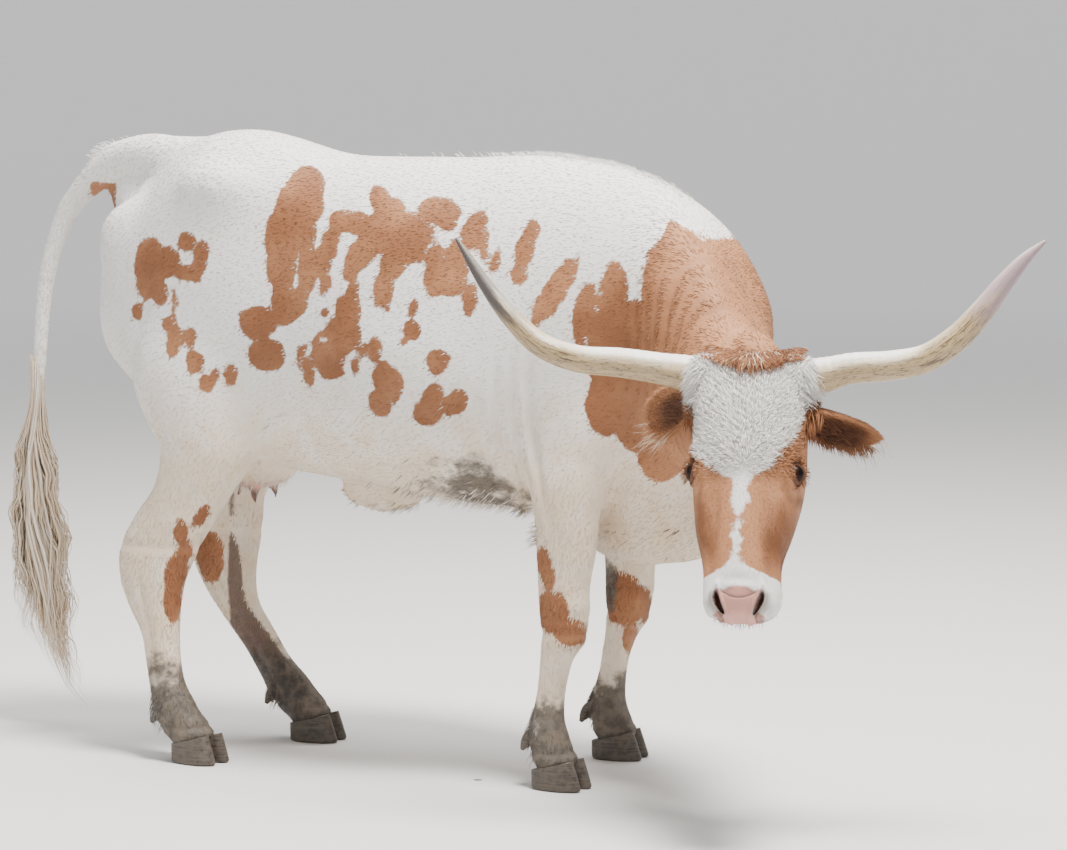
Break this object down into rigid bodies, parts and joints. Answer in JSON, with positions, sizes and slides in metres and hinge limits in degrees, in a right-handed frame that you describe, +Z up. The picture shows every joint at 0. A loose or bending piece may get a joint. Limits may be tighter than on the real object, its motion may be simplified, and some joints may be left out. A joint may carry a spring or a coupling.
{
  "type": "texas longhorn",
  "caption": "Life-size standing cow with long upswept horns, head lowered and turned to its right, patched tan and white coat and a tufted tail.",
  "frame": {"origin": "under the middle of the whole animal's bounding box, on the floor", "axes": "+X the way the body faces, +Y the animal's left, +Z up"},
  "size_m": [2.4852, 0.97, 1.3464],
  "materials": {
    "white_hair": "short matt white hair",
    "tan_hair": "short matt reddish tan hair",
    "cream_hair": "long creamy tail hair",
    "horn": "ivory horn with brown streaks and dark tips, satin",
    "hoof": "dark hoof horn, dull",
    "eye": "wet dark brown"
  },
  "bodies": {
    "root": {"barrel": "white_hair", "claw_fore_left_left": "hoof", "claw_fore_left_right": "hoof", "claw_fore_right_left": "hoof", "claw_fore_right_right": "hoof", "claw_hind_left_left": "hoof", "claw_hind_left_right": "hoof", "claw_hind_right_left": "hoof", "claw_hind_right_right": "hoof", "dewclaw_fore_left_left": "hoof", "dewclaw_fore_left_right": "hoof", "dewclaw_fore_right_left": "hoof", "dewclaw_fore_right_right": "hoof", "dewclaw_hind_left_left": "hoof", "dewclaw_hind_left_right": "hoof", "dewclaw_hind_right_left": "hoof", "dewclaw_hind_right_right": "hoof", "ear_left": "tan_hair", "ear_right": "tan_hair", "eye_left": "eye", "eye_right": "eye", "fore_left_cannon": "white_hair", "fore_left_forearm": "white_hair", "fore_left_knee": "white_hair", "fore_left_pastern": "white_hair", "fore_right_cannon": "white_hair", "fore_right_forearm": "white_hair", "fore_right_knee": "white_hair", "fore_right_pastern": "white_hair", "forequarters": "white_hair", "head": "white_hair", "hind_left_cannon": "white_hair", "hind_left_gaskin": "white_hair", "hind_left_hock": "white_hair", "hind_left_pastern": "white_hair", "hind_right_cannon": "white_hair", "hind_right_gaskin": "white_hair", "hind_right_hock": "white_hair", "hind_right_pastern": "white_hair", "hindquarters": "white_hair", "horn_left_middle": "horn", "horn_left_root": "horn", "horn_left_tip": "horn", "horn_right_middle": "horn", "horn_right_root": "horn", "horn_right_tip": "horn", "neck_lower": "white_hair", "neck_upper": "tan_hair", "tail_middle": "white_hair", "tail_root": "white_hair", "tail_switch": "cream_hair", "tail_upper": "white_hair"}
  },
  "joints": []
}
